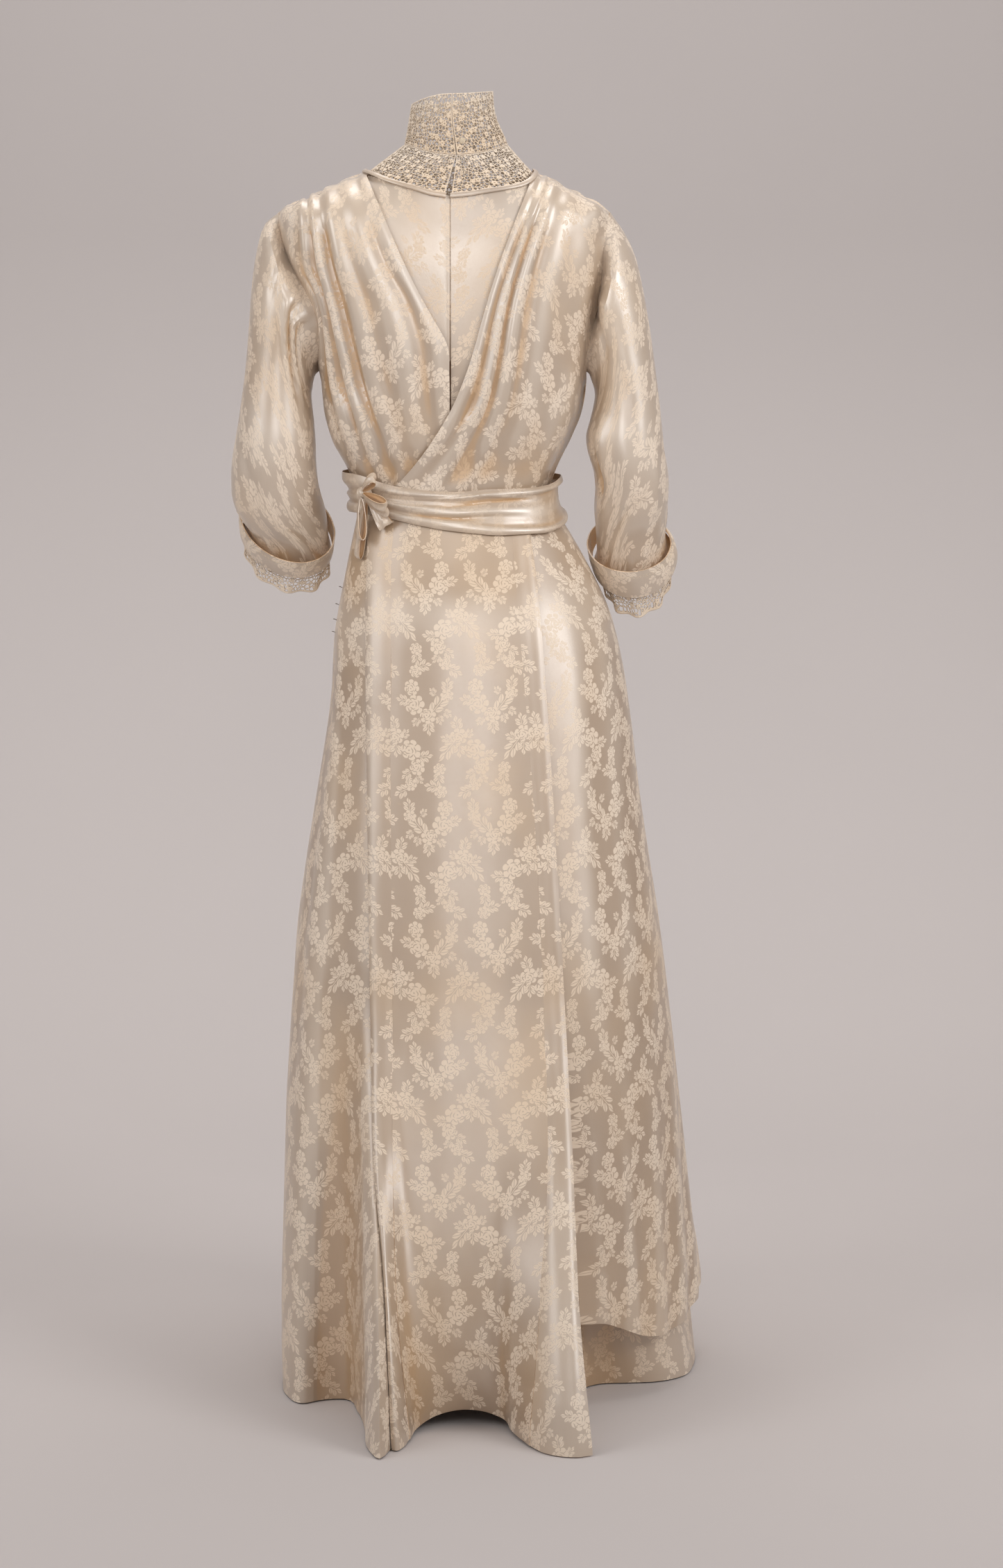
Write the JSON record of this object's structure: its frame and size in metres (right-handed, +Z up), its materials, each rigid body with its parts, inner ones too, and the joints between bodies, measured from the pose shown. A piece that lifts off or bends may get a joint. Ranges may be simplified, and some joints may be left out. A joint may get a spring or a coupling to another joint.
{
  "type": "tea gown",
  "caption": "Long figured silk gown with a train, surplice back, draped sash, lace collar and three-quarter sleeves, open and hollow as worn.",
  "frame": {"origin": "the point between the wearer's shoulders, level with the shoulder seams, where the wearer carries the gown", "axes": "+Z up, -Y out of the gown's back (the side in the picture), +X to the wearer's right"},
  "size_m": [0.5389, 0.6327, 1.4374],
  "materials": {
    "silk": "ivory figured silk damask, glossy ground and matt flowers",
    "lace": "cream cotton lace, matt"
  },
  "bodies": {
    "root": {"lace_collar_left": "lace", "lace_collar_right": "lace", "lace_yoke_back_left": "lace", "lace_yoke_back_right": "lace", "lace_yoke_front": "lace", "neck_binding": "silk", "back_vest_left": "silk", "back_vest_right": "silk", "back_drape_left": "silk", "back_drape_right": "silk", "bodice_front": "silk", "sleeve_left": "silk", "sleeve_right": "silk", "cuff_left": "silk", "cuff_right": "silk", "cuff_lace_left_back": "lace", "cuff_lace_left_front": "lace", "cuff_lace_right_back": "lace", "cuff_lace_right_front": "lace", "skirt_back": "silk", "skirt_pleat_left": "silk", "skirt_pleat_right": "silk", "skirt_left": "silk", "skirt_right": "silk", "skirt_front": "silk", "overskirt_right": "silk", "sash": "silk", "sash_knot": "silk", "sash_loop_1": "silk", "sash_loop_2": "silk", "sash_loop_3": "silk", "sash_loop_4": "silk", "sash_loop_5": "silk"}
  },
  "joints": []
}
